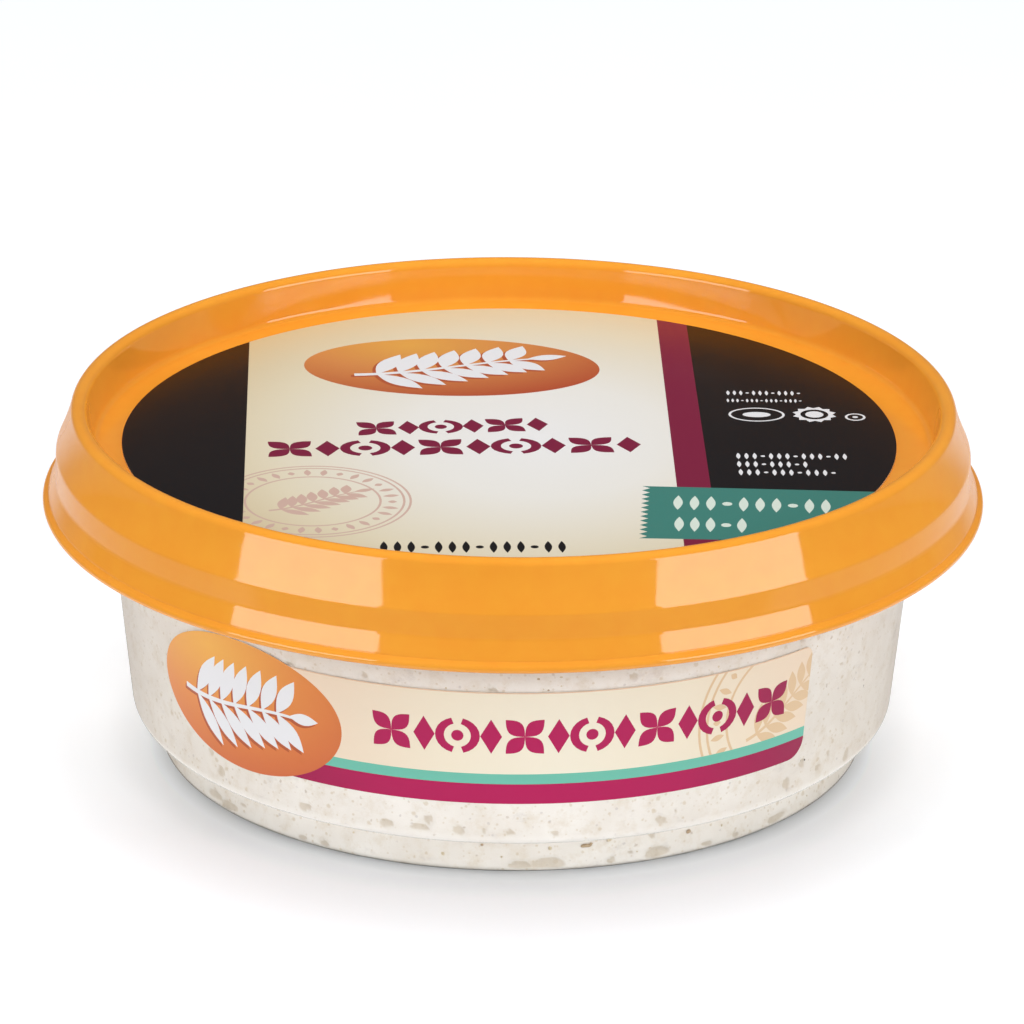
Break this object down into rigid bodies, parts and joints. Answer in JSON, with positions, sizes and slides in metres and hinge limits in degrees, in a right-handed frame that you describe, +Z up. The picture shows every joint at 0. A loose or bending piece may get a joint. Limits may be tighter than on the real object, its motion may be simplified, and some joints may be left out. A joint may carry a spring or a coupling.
{
  "type": "tub of baba ganoush",
  "caption": "Round clear plastic tub full of pale, flecked baba ganoush, shut by a glossy orange push-on lid with a label disc in its recess; a curved sticker runs round the front.",
  "frame": {"origin": "centre of the tub's base, on the surface that it stands on", "axes": "+Z up through the middle of the lid, -Y towards the front with the sticker, +X to the right seen from the front"},
  "size_m": [0.1126, 0.1126, 0.0426],
  "materials": {
    "clear_plastic": "clear gloss",
    "dip": "soft, wet, finely flecked paste",
    "lid_plastic": "gloss",
    "printed_disc": "varnished print",
    "printed_sticker": "varnished print"
  },
  "bodies": {
    "root": {"tub": "clear_plastic", "baba_ganoush": "dip", "lid": "lid_plastic", "lid_label": "printed_disc", "side_label": "printed_sticker"}
  },
  "joints": []
}
